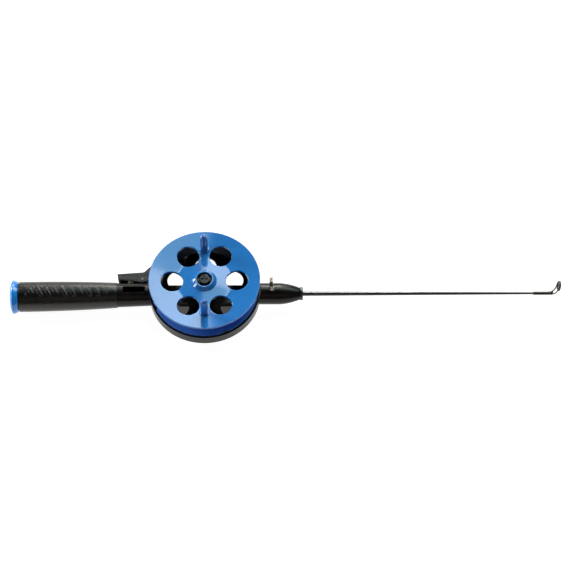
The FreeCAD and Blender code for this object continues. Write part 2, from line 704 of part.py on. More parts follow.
def make_spool_screw():
    """The pan-head screw with a cross recess."""
    top = HEAD_BACK + SCREW_HEAD_HEIGHT
    head = upright(SCREW_HEAD_RADIUS, HEAD_BACK, top)
    head = rounded(head, SCREW_HEAD_ROUND, lambda edge: circle_edge(edge, SCREW_HEAD_RADIUS, top))
    shank = upright(SCREW_RADIUS, HUB_TOP - SCREW_DEPTH_IN_INSERT, HEAD_BACK)
    slots = []
    for reach_x, reach_y in ((CROSS_REACH, CROSS_WIDTH / 2), (CROSS_WIDTH / 2, CROSS_REACH)):
        slots.append(block((-reach_x, -reach_y, top - CROSS_DEPTH), (reach_x, reach_y, top + 1)))
    return head.fuse(shank).cut(slots[0].fuse(slots[1]))


# Finger knobs


def knob_places():
    """The Y of the two knobs."""
    return (KNOB_PITCH_RADIUS, -KNOB_PITCH_RADIUS)


def collar_top():
    return spool_face_height(KNOB_PITCH_RADIUS) + KNOB_COLLAR_HEIGHT


def knob_tip():
    return spool_face_height(KNOB_PITCH_RADIUS) + KNOB_HEIGHT


def knob_pin_top():
    return knob_tip() - KNOB_RADIUS - KNOB_PIN_END_GAP


def make_knob(y):
    """A round-ended finger knob, hollow for its pin."""
    low = collar_top() + SPOOL_END_PLAY
    dome = knob_tip() - KNOB_RADIUS
    knob = upright(KNOB_RADIUS, low, dome, 0, y).fuse(
        Part.makeSphere(KNOB_RADIUS, Vector(0, y, dome))
    )
    bore = upright(KNOB_PIN_RADIUS + RUNNING_CLEARANCE, low - 1, knob_pin_top(), 0, y)
    head_low = knob_pin_top() - KNOB_PIN_HEAD_LENGTH - SPOOL_END_PLAY
    head_room = upright(
        KNOB_PIN_HEAD_RADIUS + RUNNING_CLEARANCE, head_low, knob_pin_top() + SPOOL_END_PLAY, 0, y
    )
    return spool_turned(knob.cut(bore.fuse(head_room)))


def make_knob_pin(y):
    """The pin riveted through the spool's face, with a head that keeps the knob on."""
    back = spool_back_height(KNOB_PITCH_RADIUS)
    rivet_top = back - KNOB_RIVET_DROP
    shank = upright(KNOB_PIN_RADIUS, rivet_top, knob_pin_top(), 0, y)
    head = upright(
        KNOB_PIN_HEAD_RADIUS, knob_pin_top() - KNOB_PIN_HEAD_LENGTH, knob_pin_top(), 0, y
    )
    rivet = upright(2 * KNOB_PIN_RADIUS, rivet_top - KNOB_RIVET_LENGTH, rivet_top, 0, y)
    return spool_turned(shank.fuse(head).fuse(rivet))


def spool_back_height(radius):
    """Height of the lowest point of the face's back under a knob's rivet."""
    return spool_face_height(radius - 2 * KNOB_PIN_RADIUS) - FLANGE_THICKNESS


def make_knob_collars():
    """The low rings around the knobs' feet, bedded on the dished face."""
    collars = []
    for y in knob_places():
        lift = spool_face_height(KNOB_PITCH_RADIUS - KNOB_COLLAR_RADIUS)
        ring = upright(KNOB_COLLAR_RADIUS, lift - 1, collar_top(), 0, y)
        ring = rounded(
            ring, KNOB_COLLAR_ROUND, lambda edge: circle_edge(edge, KNOB_COLLAR_RADIUS, collar_top())
        )
        ring = ring.cut(upright(KNOB_PIN_RADIUS, lift - 2, collar_top() + 1, 0, y))
        collars.append(ring.cut(face_bed()))
    return spool_turned(Part.makeCompound(collars))


def face_bed():
    """The solid below the dished face, which the knobs' collars sit on."""
    low = FACE_VALLEY - FLANGE_THICKNESS
    return spun_up(
        [
            (FACE_VALLEY_RADIUS - 4, low),
            (SPOOL_RADIUS, low),
            (SPOOL_RADIUS, FACE_RIM),
            (FACE_VALLEY_RADIUS, FACE_VALLEY),
            (FACE_VALLEY_RADIUS - 4, FACE_VALLEY),
        ]
    )


# Thumb lever


def lever_turned(shape, degrees):
    turned = shape.copy()
    turned.rotate(PIVOT, Vector(0, 0, 1), degrees)
    return turned


def arm_inner_point(degrees):
    """A point on the arm's inner edge, clear of the dish even when the tooth is in a notch."""
    direction = polar(1.0, degrees)
    lever_arm = direction.x * PIVOT_Y - direction.y * PIVOT_X
    inward = math.radians(LEVER_LOCK_DEG) * lever_arm
    return direction * (DISH_RADIUS + MOVING_GAP + inward)


def make_lever_outline():
    """The lever's side view: thumb pad, pivot eye and the arm that follows the dish."""
    pad_low = PIVOT + Vector(PAD_END_SLANT - PAD_REACH, PAD_LOW_RISE, 0)
    pad_high = PIVOT + Vector(-PAD_REACH, PAD_END_RISE, 0)
    corner = PIVOT + Vector(PAD_CORNER_FORWARD, PAD_CORNER_RISE, 0)
    outer = DISH_RADIUS + MOVING_GAP + ARM_THICKNESS
    end_deg = NOTCH_ANGLE_DEG - ARM_PAST_TOOTH_DEG
    arm_start = polar(outer, ARM_START_DEG)
    arm_middle = polar(outer + ARM_MIDDLE_SWELL, (ARM_START_DEG + end_deg) / 2)
    arm_end = polar(outer + ARM_END_SWELL, end_deg)
    inner_deg = ARM_INNER_START_DEG
    inner_start = arm_inner_point(inner_deg)
    inner_middle = arm_inner_point((inner_deg + end_deg) / 2)
    inner_end = arm_inner_point(end_deg)
    heel = PIVOT + Vector(HEEL_FORWARD, -HEEL_DROP, 0)
    eye_drop = math.sqrt(LEVER_EYE_RADIUS**2 - LEVER_EYE_FLAT**2)
    eye_right = PIVOT + Vector(LEVER_EYE_FLAT, -eye_drop, 0)
    eye_bottom = PIVOT + Vector(0, -LEVER_EYE_RADIUS, 0)
    eye_left = PIVOT + Vector(-LEVER_EYE_FLAT, -eye_drop, 0)
    under_pad = PIVOT + Vector(-UNDER_PAD_BACK, -UNDER_PAD_DROP, 0)
    edges = [
        line(pad_low, pad_high),
        line(pad_high, corner),
        line(corner, arm_start),
        Part.Arc(arm_start, arm_middle, arm_end).toShape(),
        line(arm_end, inner_end),
        Part.Arc(inner_end, inner_middle, inner_start).toShape(),
        line(inner_start, heel),
        line(heel, eye_right),
        Part.Arc(eye_right, eye_bottom, eye_left).toShape(),
        line(eye_left, under_pad),
        line(under_pad, pad_low),
    ]
    return Part.Face(Part.Wire(Part.__sortEdges__(edges)))


def make_tooth():
    """The tooth at the arm's end, drawn in a notch and turned back to its rest place."""
    tip = REAR_FLANGE_RADIUS - NOTCH_DEPTH + TOOTH_TIP_CLEARANCE
    low = DISH_RIM - 3.4
    high = GROOVE_BACK - 0.3
    half = TOOTH_WIDTH / 2
    root = DISH_RADIUS + ARM_THICKNESS
    tooth = block((tip + half, -half, low), (root, half, high))
    tooth = tooth.fuse(upright(half, low, high, tip + half))
    tooth.rotate(Vector(0, 0, 0), Vector(0, 0, 1), NOTCH_ANGLE_DEG)
    return lever_turned(tooth, LEVER_LOCK_DEG)


def make_thumb_lever():
    """The lever: a channel over the neck's ear, with an arm round the dish and a tooth."""
    low = AXIS_HEIGHT - LEVER_WIDTH / 2
    high = AXIS_HEIGHT + LEVER_WIDTH / 2
    outline = make_lever_outline()
    outline.translate(Vector(0, 0, low))
    lever = outline.extrude(Vector(0, 0, LEVER_WIDTH))
    arm_side = block(
        (PIVOT_X + 5.2, 0, low - 1),
        (0, 2 * DISH_RADIUS, high - ARM_WIDTH),
    )
    channel_end = PIVOT_X + LEVER_EYE_RADIUS + 0.3
    channel = block(
        (PIVOT_X - PAD_REACH + LEVER_WALL + 0.6, 0, AXIS_HEIGHT - CHANNEL_WIDTH / 2),
        (channel_end, CHANNEL_ROOF, AXIS_HEIGHT + CHANNEL_WIDTH / 2),
    )
    heel_room = block(
        (channel_end - 1, 0, AXIS_HEIGHT - CHANNEL_WIDTH / 2),
        (-DISH_RADIUS, neck_top(-DISH_RADIUS) + 1.2, AXIS_HEIGHT + CHANNEL_WIDTH / 2),
    )
    pin_hole = upright(LEVER_PIN_RADIUS + RUNNING_CLEARANCE, low - 1, high + 1, PIVOT_X, PIVOT_Y)
    lever = lever.cut(arm_side).cut(channel).cut(heel_room).cut(pin_hole)
    peg = Part.makeCylinder(
        SPRING_PEG_RADIUS, PAD_PEG_LENGTH + 1, Vector(SPRING_X, CHANNEL_ROOF - PAD_PEG_LENGTH, AXIS_HEIGHT), Vector(0, 1, 0)
    )
    return lever.multiFuse([make_tooth(), peg]).removeSplitter()


def make_lever_pin():
    """The pin pressed into the neck's ear, its ends just proud of the lever."""
    reach = LEVER_WIDTH / 2 + LEVER_PIN_STANDOUT
    pin = upright(LEVER_PIN_RADIUS, AXIS_HEIGHT - reach, AXIS_HEIGHT + reach, PIVOT_X, PIVOT_Y)
    return rounded(pin, LEVER_PIN_ROUND, lambda edge: circle_edge(edge, LEVER_PIN_RADIUS))


def make_lever_spring():
    """The coil spring that lifts the thumb pad."""
    clear = SPRING_WIRE_RADIUS + RUNNING_CLEARANCE
    height = CHANNEL_ROOF - SPRING_SEAT - 2 * clear
    pitch = 2 * height / SPRING_HALF_TURNS
    spring = coiled_wire(SPRING_COIL_RADIUS, pitch, SPRING_HALF_TURNS, SPRING_WIRE_RADIUS)
    spring.rotate(Vector(0, 0, 0), Vector(1, 0, 0), -90)
    spring.translate(Vector(SPRING_X, SPRING_SEAT + clear, AXIS_HEIGHT))
    return spring


NODES = {
    "frame_body": make_frame_body,
    "grip_sleeve": make_grip_sleeve,
    "butt_cap": make_butt_cap,
    "nose_collar": make_nose_collar,
    "rod_blank": make_rod_blank,
    "tip_guide_tube": make_tip_guide_tube,
    "tip_guide_solder": make_tip_guide_solder,
    "tip_guide_legs": make_tip_guide_legs,
    "tip_guide_ring": make_tip_guide_ring,
    "tip_guide_insert": make_tip_guide_insert,
    "nose_guide_eye": make_nose_guide_eye,
    "spool": make_spool,
    "spool_bush": make_spool_bush,
    "spindle_sleeve": make_spindle_sleeve,
    "thrust_washer": make_thrust_washer,
    "threaded_insert": make_threaded_insert,
    "screw_washer": make_screw_washer,
    "spool_screw": make_spool_screw,
    "knob_upper": lambda: make_knob(KNOB_PITCH_RADIUS),
    "knob_lower": lambda: make_knob(-KNOB_PITCH_RADIUS),
    "knob_upper_pin": lambda: make_knob_pin(KNOB_PITCH_RADIUS),
    "knob_lower_pin": lambda: make_knob_pin(-KNOB_PITCH_RADIUS),
    "knob_collars": make_knob_collars,
    "thumb_lever": make_thumb_lever,
    "lever_pin": make_lever_pin,
    "lever_spring": make_lever_spring,
}

os.makedirs("parts", exist_ok=True)
for name, make in NODES.items():
    shape = make()
    solids = shape.Solids
    print(name, len(solids), "solid(s)", round(shape.Volume, 1), "mm3", "valid", shape.isValid())
    if len(solids) == 1:
        shape = solids[0]
    shape.exportStep(os.path.join("parts", name + ".step"))
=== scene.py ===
import bmesh
import bpy
import numpy as np
from mathutils import Matrix, Quaternion, Vector


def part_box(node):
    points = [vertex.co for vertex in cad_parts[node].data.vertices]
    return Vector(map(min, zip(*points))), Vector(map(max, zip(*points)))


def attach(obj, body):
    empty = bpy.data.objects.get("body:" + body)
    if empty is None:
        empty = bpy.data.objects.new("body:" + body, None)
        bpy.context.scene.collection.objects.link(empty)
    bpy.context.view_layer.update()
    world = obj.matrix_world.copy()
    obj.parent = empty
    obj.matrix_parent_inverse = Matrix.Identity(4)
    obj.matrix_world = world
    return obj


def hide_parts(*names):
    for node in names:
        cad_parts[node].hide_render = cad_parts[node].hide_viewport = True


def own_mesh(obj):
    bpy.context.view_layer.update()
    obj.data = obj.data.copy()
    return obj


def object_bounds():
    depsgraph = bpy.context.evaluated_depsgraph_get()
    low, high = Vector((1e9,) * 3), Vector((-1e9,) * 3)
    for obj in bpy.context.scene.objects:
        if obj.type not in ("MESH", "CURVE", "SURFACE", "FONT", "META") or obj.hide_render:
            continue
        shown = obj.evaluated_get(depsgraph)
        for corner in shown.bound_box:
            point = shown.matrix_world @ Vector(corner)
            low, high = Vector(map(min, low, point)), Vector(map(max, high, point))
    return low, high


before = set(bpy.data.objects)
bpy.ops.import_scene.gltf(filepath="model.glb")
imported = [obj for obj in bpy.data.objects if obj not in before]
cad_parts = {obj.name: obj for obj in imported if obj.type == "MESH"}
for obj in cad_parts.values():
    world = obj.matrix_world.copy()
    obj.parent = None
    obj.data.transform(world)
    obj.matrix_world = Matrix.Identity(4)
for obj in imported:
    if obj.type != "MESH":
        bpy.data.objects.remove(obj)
cad_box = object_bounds()

# Camera, floor and studio light. The rod lies with its spool facing up, a person sees it from
# the side of the lower knob, and soft lights stand behind it and at its butt.

view_point = Vector((0.0648, -0.00364, 0.02992))
camera_back = Vector((0.0, -0.5, 0.8660254))
camera_distance = 2.0
camera_roll = -0.0018

camera_data = bpy.data.cameras.new("camera")
camera_data.lens = 157.2
camera_data.sensor_width = 36.0
camera = bpy.data.objects.new("camera", camera_data)
bpy.context.scene.collection.objects.link(camera)
camera.location = view_point + camera_back * camera_distance
camera.rotation_mode = "QUATERNION"
level_camera = camera_back.to_track_quat("Z", "Y")
camera.rotation_quaternion = level_camera @ Quaternion((0, 0, 1), camera_roll)
bpy.context.scene.camera = camera

spool_middle = Vector((0.0, 0.0, 0.03))


def soft_light(name, direction, distance, width, height, power, shift=0.0, tint=(1, 1, 1)):
    """A rectangular lamp of a tint, whose plane faces the spool from a direction. Its centre is
    shifted along its own width."""
    lamp = bpy.data.lights.new(name, "AREA")
    lamp.shape = "RECTANGLE"
    lamp.size = width
    lamp.size_y = height
    lamp.energy = power
    lamp.color = tint
    holder = bpy.data.objects.new(name, lamp)
    bpy.context.scene.collection.objects.link(holder)
    away = Vector(direction).normalized()
    turn = away.to_track_quat("Z", "Y")
    holder.location = spool_middle + away * distance + turn @ Vector((shift, 0, 0))
    holder.rotation_mode = "QUATERNION"
    holder.rotation_quaternion = turn


cool = (0.84, 0.98, 1.0)
cooler = (0.62, 1.0, 1.0)
warm = (1.0, 0.95, 0.90)
soft_light("back_softbox", (0.0, 0.60, 0.76), 1.5, 1.3, 0.60, 15.0, shift=-0.575, tint=cool)
soft_light("back_softbox_top", (0.0, 0.36, 0.93), 1.5, 1.3, 0.30, 3.2, shift=-0.575, tint=cooler)
soft_light("low_back_softbox", (0.0, 0.93, 0.36), 1.5, 0.9, 0.34, 4.8, shift=-0.075, tint=warm)
soft_light("back_flash", (0.085, 0.856, 0.506), 1.4, 0.26, 0.20, 6.0)
soft_light("butt_softbox", (-0.96, -0.10, 0.20), 1.3, 0.30, 0.30, 3.0)
soft_light("side_flash", (-0.87, 0.42, 0.25), 1.4, 0.44, 0.44, 14.0)
soft_light("front_softbox", (0.15, -0.80, 0.65), 1.8, 1.6, 0.9, 1.2)

world = bpy.data.worlds.new("studio")
bpy.context.scene.world = world
world.use_nodes = True
room = world.node_tree.nodes["Background"]
room.inputs["Color"].default_value = (1.0, 0.99, 0.97, 1)
room.inputs["Strength"].default_value = 0.06
bpy.context.scene.view_settings.view_transform = "Standard"

floor_mesh = bpy.data.meshes.new("floor")
floor_half = 4.0
floor_gap = 0.0003
floor_z = cad_box[0].z - floor_gap
floor_mesh.from_pydata(
    [
        (-floor_half, -floor_half, floor_z),
        (floor_half, -floor_half, floor_z),
        (floor_half, floor_half, floor_z),
        (-floor_half, floor_half, floor_z),
    ],
    [],
    [(0, 1, 2, 3)],
)
floor = bpy.data.objects.new("floor", floor_mesh)
bpy.context.scene.collection.objects.link(floor)
floor_paint = bpy.data.materials.new("pale_floor")
floor_paint.use_nodes = True
floor_shader = floor_paint.node_tree.nodes["Principled BSDF"]
floor_shader.inputs["Base Color"].default_value = (0.32, 0.316, 0.308, 1)
floor_shader.inputs["Roughness"].default_value = 0.9
floor_shader.inputs["Specular IOR Level"].default_value = 0.1
floor_shader.inputs["Emission Color"].default_value = (1, 1, 1, 1)

# The floor's own glow fades in an oval under the hub: a painted shadow where little light would
# reach.
floor_tree = floor_paint.node_tree
floor_where = floor_tree.nodes.new("ShaderNodeTexCoord")
under_hub = floor_tree.nodes.new("ShaderNodeMapping")
under_hub.inputs["Location"].default_value = (0.0, 0.50, 0.0)
under_hub.inputs["Scale"].default_value = (27.8, 50.0, 0.0)
hub_shade = floor_tree.nodes.new("ShaderNodeTexGradient")
hub_shade.gradient_type = "SPHERICAL"
# Painted shadow on the floor: the glow falls from 0.95 to 0.06 towards the oval's middle.
paper_glow_painted_shadow = floor_tree.nodes.new("ShaderNodeMapRange")
paper_glow_painted_shadow.inputs["From Max"].default_value = 0.18
paper_glow_painted_shadow.inputs["To Min"].default_value = 0.95
paper_glow_painted_shadow.inputs["To Max"].default_value = 0.06
floor_tree.links.new(floor_where.outputs["Object"], under_hub.inputs["Vector"])
floor_tree.links.new(under_hub.outputs["Vector"], hub_shade.inputs["Vector"])
floor_tree.links.new(hub_shade.outputs["Fac"], paper_glow_painted_shadow.inputs["Value"])
floor_tree.links.new(paper_glow_painted_shadow.outputs["Result"], floor_shader.inputs["Emission Strength"])
floor_mesh.materials.append(floor_paint)


# Frame: one black nylon moulding, the dish, beam, neck and nose together. It comes out of a
# finely spark-eroded mould, so its skin is satin with a fine grain and slightly soft edges.


def moulded(name, dark, light, rough, grain_size, grain_depth, coat=0.0, edge=0.0002):
    """A moulded plastic or coated metal. Its colour drifts between two shades over broad noise,
    its roughness between two values, and fine noise of a grain size lifts its skin by a depth.
    Edges are eased by a small radius. All sizes are in metres."""
    paint = bpy.data.materials.new(name)
    paint.use_nodes = True
    tree = paint.node_tree
    shader = tree.nodes["Principled BSDF"]
    shader.inputs["Coat Weight"].default_value = coat
    shader.inputs["Coat Roughness"].default_value = 0.04
    where = tree.nodes.new("ShaderNodeTexCoord")

    broad = tree.nodes.new("ShaderNodeTexNoise")
    broad.inputs["Scale"].default_value = 90.0
    broad.inputs["Detail"].default_value = 4.0
    tree.links.new(where.outputs["Object"], broad.inputs["Vector"])
    shades = tree.nodes.new("ShaderNodeValToRGB")
    shades.color_ramp.elements[0].position = 0.3
    shades.color_ramp.elements[1].position = 0.7
    shades.color_ramp.elements[0].color = (*dark, 1)
    shades.color_ramp.elements[1].color = (*light, 1)
    tree.links.new(broad.outputs["Fac"], shades.inputs["Fac"])
    tree.links.new(shades.outputs["Color"], shader.inputs["Base Color"])

    gloss = tree.nodes.new("ShaderNodeMapRange")
    gloss.inputs["To Min"].default_value = rough[0]
    gloss.inputs["To Max"].default_value = rough[1]
    tree.links.new(broad.outputs["Fac"], gloss.inputs["Value"])
    tree.links.new(gloss.outputs["Result"], shader.inputs["Roughness"])

    grain = tree.nodes.new("ShaderNodeTexNoise")
    grain.inputs["Scale"].default_value = 1.0 / grain_size
    grain.inputs["Detail"].default_value = 3.0
    grain.inputs["Roughness"].default_value = 0.6
    tree.links.new(where.outputs["Object"], grain.inputs["Vector"])
    lift = tree.nodes.new("ShaderNodeBump")
    lift.inputs["Distance"].default_value = grain_depth
    tree.links.new(grain.outputs["Fac"], lift.inputs["Height"])
    tree.links.new(lift.outputs["Normal"], shader.inputs["Normal"])
    if edge:
        ease = tree.nodes.new("ShaderNodeBevel")
        ease.samples = 4
        ease.inputs["Radius"].default_value = edge
        tree.links.new(ease.outputs["Normal"], lift.inputs["Normal"])
    return paint


def paint_node(node, paint):
    """Give a piece of the frame its finish."""
    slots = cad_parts[node].data.materials
    slots.clear()
    slots.append(paint)


black_nylon = moulded(
    "black_nylon",
    dark=(0.0034, 0.0028, 0.0023),
    light=(0.0066, 0.0057, 0.0048),
    rough=(0.20, 0.30),
    grain_size=0.00035,
    grain_depth=0.00002,
)
nylon_shader = black_nylon.node_tree.nodes["Principled BSDF"]
nylon_shader.inputs["Specular IOR Level"].default_value = 0.26
nylon_shader.inputs["Specular Tint"].default_value = (1.0, 0.93, 0.87, 1)
paint_node("frame_body", black_nylon)


# Grip: a black rubber sleeve pushed over the neck's hollow core. It swells towards the butt, has
# a fine leather grain, and a row of raised slanted ribs on the side that faces up.

handle_drop = np.radians(1.0)
axis_height = 0.0095


def skin(name, sheets, sharp=32.0):
    """One closed mesh from grids of points. A grid's rows run along it, and its columns run all
    the way round, so that the last column meets the first. Points that coincide are merged, and
    an edge turned by more than the sharp angle stays crisp."""
    places = []
    faces = []
    start = 0
    for grid in sheets:
        rows, columns = grid.shape[:2]
        index = np.arange(rows * columns).reshape(rows, columns) + start
        after = np.roll(index, -1, axis=1)
        corners = np.stack([index[:-1], after[:-1], after[1:], index[1:]], axis=-1)
        faces.append(corners.reshape(-1, 4))
        places.append(grid.reshape(-1, 3))
        start += rows * columns
    mesh = bpy.data.meshes.new(name)
    mesh.from_pydata(np.concatenate(places).tolist(), [], np.concatenate(faces).tolist())
    work = bmesh.new()
    work.from_mesh(mesh)
    bmesh.ops.remove_doubles(work, verts=work.verts, dist=2e-6)
    bmesh.ops.dissolve_degenerate(work, edges=work.edges, dist=1e-7)
    bmesh.ops.recalc_face_normals(work, faces=work.faces)
    work.to_mesh(mesh)
    work.free()
    mesh.shade_smooth()
    mesh.set_sharp_from_angle(angle=float(np.radians(sharp)))
    piece = bpy.data.objects.new(name, mesh)
    bpy.context.scene.collection.objects.link(piece)
    return piece


def around(count):
    """Angles evenly round a full turn."""
    return np.linspace(0.0, 2.0 * np.pi, count, endpoint=False)


def about_rod(along, radius, angles):
    """Points at a distance along the rod and a radius about its axis. Angle 0 is the side that
    faces up, and it grows towards the lever's side."""
    x = along + 0.0 * angles
    return np.stack([x, radius * np.sin(angles), axis_height + radius * np.cos(angles)], axis=-1)


def drop_handle(grid):
    """Points turned about the spool's axis by the handle's drop."""
    turn = np.array(Matrix.Rotation(handle_drop, 3, "Z"))
    return grid @ turn.T


grip_front = -0.0710
grip_butt = -0.1509
grip_radii = (0.0122, 0.01185, 0.0103)
grip_core = 0.00663
butt_round = 0.0011
front_round = 0.0004
rib_height = 0.00055
rib_pitch = 0.0066
rib_slant = 0.55
rib_row_shift = 0.0010
rib_short = 0.0034
rib_long = 0.0052
rib_gap_share = 0.22
rib_flank_share = 0.09
rib_end_round = 0.0006
rib_first = -0.1450
rib_last = -0.0780

# The sleeve's radius is a parabola along it through the radii at its butt, middle and front.
share = np.linspace(0.0, 1.0, 330)
swell = (
    grip_radii[0] * (1 - share) * (1 - 2 * share)
    + grip_radii[1] * 4 * share * (1 - share)
    + grip_radii[2] * share * (2 * share - 1)
)

# Both its ends are eased by a quarter of a circle.
from_butt = share * (grip_front - grip_butt)
butt_ease = np.clip(1 - from_butt / butt_round, 0, 1)
front_ease = np.clip(1 - (grip_front - grip_butt - from_butt) / front_round, 0, 1)
swell = swell - butt_round * (1 - np.sqrt(1 - butt_ease**2))
swell = swell - front_round * (1 - np.sqrt(1 - front_ease**2))

# The ribs are a repeated step along the sleeve, slanted by the distance round it. Every third
# one is short, and each has sloped flanks and eased ends.
grip_angles = around(224)
along_grid, angle_grid = np.meshgrid(grip_butt + from_butt, grip_angles, indexing="ij")
wrapped = (angle_grid + np.pi) % (2 * np.pi) - np.pi
across = wrapped * swell[:, None] + rib_row_shift
rib_run = (along_grid + rib_slant * across - grip_butt) / rib_pitch
rib_number = np.floor(rib_run)
rib_reach = np.where(rib_number % 3 == 1, rib_short, rib_long)
from_rib_edge = 0.5 - np.abs(rib_run - rib_number - 0.5) - rib_gap_share
rib_side = np.clip(from_rib_edge / rib_flank_share, 0, 1)
rib_end = np.clip((rib_reach - np.abs(across)) / rib_end_round, 0, 1)
rib_zone = (along_grid > rib_first) & (along_grid < rib_last)
rib_lift = rib_height * rib_side * rib_end * (3 - 2 * rib_side) * rib_side * rib_zone
grip_radius = swell[:, None] + rib_lift
outside = about_rod(along_grid, grip_radius, angle_grid)
butt_row = about_rod(grip_butt + 0 * grip_angles, grip_core, grip_angles)[None]
front_row = about_rod(grip_front + 0 * grip_angles, grip_core, grip_angles)[None]
grip_grid = np.concatenate([butt_row, outside, front_row, butt_row])
grip = skin("grip", [drop_handle(grip_grid)], sharp=50.0)
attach(grip, "frame")
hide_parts("grip_sleeve")

grip_rubber = moulded(
    "grip_rubber",
    dark=(0.0030, 0.0027, 0.0024),
    light=(0.0080, 0.0072, 0.0064),
    rough=(0.20, 0.32),
    grain_size=0.0009,
    grain_depth=0.00005,
    edge=0,
)

# Leather grain: shallow creases along the borders of random cells.
rubber_tree = grip_rubber.node_tree
pores = rubber_tree.nodes.new("ShaderNodeTexVoronoi")
pores.feature = "DISTANCE_TO_EDGE"
pores.inputs["Scale"].default_value = 620.0
pores.inputs["Randomness"].default_value = 1.0
crease = rubber_tree.nodes.new("ShaderNodeBump")
crease.inputs["Distance"].default_value = 0.00018
rubber_where = rubber_tree.nodes["Texture Coordinate"]
rubber_tree.links.new(rubber_where.outputs["Object"], pores.inputs["Vector"])
rubber_tree.links.new(pores.outputs["Distance"], crease.inputs["Height"])
rubber_tree.links.new(crease.outputs["Normal"], rubber_tree.nodes["Bump"].inputs["Normal"])
rubber_shader = rubber_tree.nodes["Principled BSDF"]
rubber_shader.inputs["Specular Tint"].default_value = (1.0, 0.95, 0.90, 1)
grip.data.materials.append(grip_rubber)


# Butt cap: a glossy blue moulding with a flared lip and a shallow dome, plugged into the end of
# the hollow core. A thin dark gap shows between it and the sleeve.

cap_front = -0.1512
cap_shoulder = -0.1540
cap_lip_front = -0.1547
cap_lip_back = -0.1551
cap_end = -0.1585
cap_front_radius = 0.0123
cap_lip_radius = 0.0138
cap_shoulder_radius = 0.0136
cap_front_ease = 0.0003
cap_plug_radius = 0.0045
dome_depth = 0.0034
dome_fullness = 0.92


def soften(corners, steps=6):
    """An outline of (radius, height, round) corners, each round one eased by a curve between
    the points that lie that far before and after it."""
    outline = []
    for i, (radius, height, ease) in enumerate(corners):
        here = np.array((radius, height))
        if not ease:
            outline.append(here)
            continue
        before = np.array(corners[i - 1][:2]) - here
        after = np.array(corners[(i + 1) % len(corners)][:2]) - here
        start = here + before / np.linalg.norm(before) * ease
        end = here + after / np.linalg.norm(after) * ease
        for t in np.linspace(0, 1, steps):
            outline.append(start * (1 - t) ** 2 + here * 2 * t * (1 - t) + end * t**2)
    return np.array(outline)


# The dome's radius is the sine of an angle raised to its fullness, and its height one less the
# cosine.
dome_turn = np.linspace(0, np.pi / 2, 14)[:-1]
dome_radius = cap_lip_radius * np.sin(dome_turn) ** dome_fullness
dome_height = cap_end + dome_depth * (1 - np.cos(dome_turn))
cap_corners = [(radius, height, 0) for radius, height in zip(dome_radius, dome_height)] + [
    (cap_lip_radius, cap_lip_back, 0),
    (cap_lip_radius, cap_lip_front, 0),
    (cap_shoulder_radius, cap_shoulder, 0),
    (cap_front_radius, cap_front, cap_front_ease),
    (cap_plug_radius, cap_front, 0),
    (0.0, cap_front, 0),
]
cap_outline = soften(cap_corners)
cap_angles = around(128)
cap_grid = np.stack([about_rod(height, radius, cap_angles) for radius, height in cap_outline])
cap = skin("butt_cap_shell", [drop_handle(cap_grid)], sharp=40.0)
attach(cap, "frame")
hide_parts("butt_cap")
cap_blue = moulded(
    "cap_blue",
    dark=(0.010, 0.235, 0.74),
    light=(0.013, 0.260, 0.80),
    rough=(0.14, 0.22),
    grain_size=0.0012,
    grain_depth=0.000004,
    coat=0.5,
    edge=0,
)
cap.data.materials.append(cap_blue)


# Blank and collar: a tapered fibre blank in clear black coat, glued into the nose, and a
# polished collar that closes the nose round it.

blank_coat = moulded(
    "blank_coat",
    dark=(0.010, 0.009, 0.009),
    light=(0.018, 0.016, 0.015),
    rough=(0.20, 0.32),
    grain_size=0.0008,
    grain_depth=0.000008,
    coat=0.6,
)
paint_node("rod_blank", blank_coat)
collar_black = moulded(
    "collar_black",
    dark=(0.008, 0.008, 0.008),
    light=(0.012, 0.012, 0.012),
    rough=(0.10, 0.18),
    grain_size=0.0009,
    grain_depth=0.000004,
    coat=0.2,
)
paint_node("nose_collar", collar_black)


# Tip guide: dark plated steel. A closed tube slips over the blank, two wires are soldered to its
# end and carry the leaning ring, and a polished hard liner sits in the ring for the line.


def worn_metal(name, dark, light, rough, grain_size=0.0004, grain_depth=0.000006):
    """A drawn, turned or plated metal with slight drift in its shade and roughness."""
    paint = moulded(name, dark, light, rough, grain_size, grain_depth)
    paint.node_tree.nodes["Principled BSDF"].inputs["Metallic"].default_value = 1.0
    return paint


def wire(path, radius, across, columns=20):
    """Round wire along a path of points: at each point a circle square to the path, laid out
    from a direction that is never along it. Both ends are closed to a point."""
    along = np.gradient(path, axis=0)
    along /= np.linalg.norm(along, axis=1)[:, None]
    side = np.asarray(across, float) - along * (along @ np.asarray(across, float))[:, None]
    side /= np.linalg.norm(side, axis=1)[:, None]
    other = np.cross(along, side)
    angles = around(columns)
    ring = side[:, None] * np.cos(angles)[:, None] + other[:, None] * np.sin(angles)[:, None]
    body = path[:, None] + radius * ring
    first = np.repeat(path[:1, None], columns, axis=1)
    last = np.repeat(path[-1:, None], columns, axis=1)
    return np.concatenate([first, body, last])


def eased_path(points, count):
    """A smooth path through points, by Catmull and Rom's cubic between each pair."""
    points = np.asarray(points, float)
    before = 2 * points[:1] - points[1:2]
    after = 2 * points[-1:] - points[-2:-1]
    padded = np.concatenate([before, points, after])
    t = np.linspace(0, len(points) - 1 - 1e-9, count)
    i = t.astype(int)
    f = (t - i)[:, None]
    a, b, c, d = padded[i], padded[i + 1], padded[i + 2], padded[i + 3]
    square = 2 * a - 5 * b + 4 * c - d
    cube = 3 * b - a - 3 * c + d
    return 0.5 * (2 * b + (c - a) * f + square * f**2 + cube * f**3)


gunmetal = worn_metal("gunmetal", (0.045, 0.038, 0.032), (0.085, 0.072, 0.060), (0.26, 0.40))
for node in ("tip_guide_tube", "tip_guide_ring", "tip_guide_solder"):
    paint_node(node, gunmetal)
liner_black = moulded(
    "liner_black",
    dark=(0.012, 0.012, 0.013),
    light=(0.020, 0.020, 0.021),
    rough=(0.08, 0.14),
    grain_size=0.0006,
    grain_depth=0.000003,
    coat=0.6,
)
paint_node("tip_guide_insert", liner_black)

